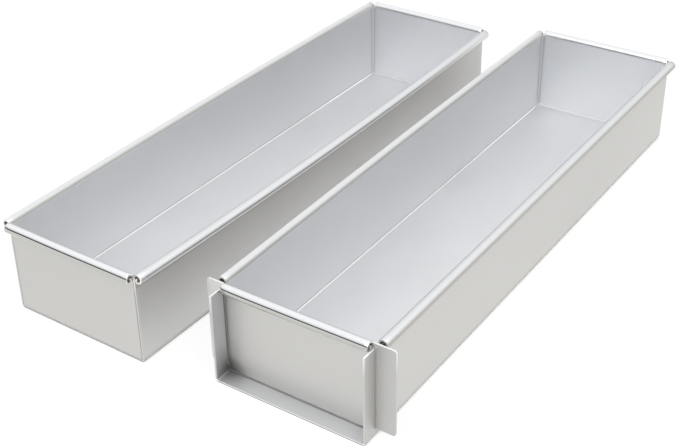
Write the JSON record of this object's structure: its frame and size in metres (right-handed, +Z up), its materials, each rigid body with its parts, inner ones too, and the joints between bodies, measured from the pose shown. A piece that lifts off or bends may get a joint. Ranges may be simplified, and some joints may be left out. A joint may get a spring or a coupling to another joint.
{
  "type": "rectangular cake pan set",
  "caption": "Long straight-sided aluminium cake pans with curled rims, side by side, and a folded U-shaped bracket with side wings that slips off a pan's end.",
  "frame": {"origin": "centre of the right pan's underside, on the surface that the set stands on", "axes": "+Y along the pans, away from the end with the bracket; +X to the right, seen from the bracket's end; +Z up, out of the pans' mouths"},
  "size_m": [0.2734, 0.4416, 0.0647],
  "materials": {
    "pan_sheet": "satin",
    "weld": "satin",
    "bracket_sheet": "satin"
  },
  "bodies": {
    "pans": {"right_pan_trough": "pan_sheet", "right_pan_near_wall": "pan_sheet", "right_pan_far_wall": "pan_sheet", "right_pan_near_left_weld": "weld", "right_pan_near_right_weld": "weld", "right_pan_near_floor_weld": "weld", "right_pan_far_left_weld": "weld", "right_pan_far_right_weld": "weld", "right_pan_far_floor_weld": "weld", "left_pan_trough": "pan_sheet", "left_pan_near_wall": "pan_sheet", "left_pan_far_wall": "pan_sheet", "left_pan_near_left_weld": "weld", "left_pan_near_right_weld": "weld", "left_pan_near_floor_weld": "weld", "left_pan_far_left_weld": "weld", "left_pan_far_right_weld": "weld", "left_pan_far_floor_weld": "weld"},
    "bracket": {"end_bracket": "bracket_sheet"}
  },
  "joints": [
    {"name": "bracket_slide", "type": "slide", "parent": "pans", "child": "bracket", "axis": [0, -1, 0], "range_m": [0, 0.03]}
  ]
}
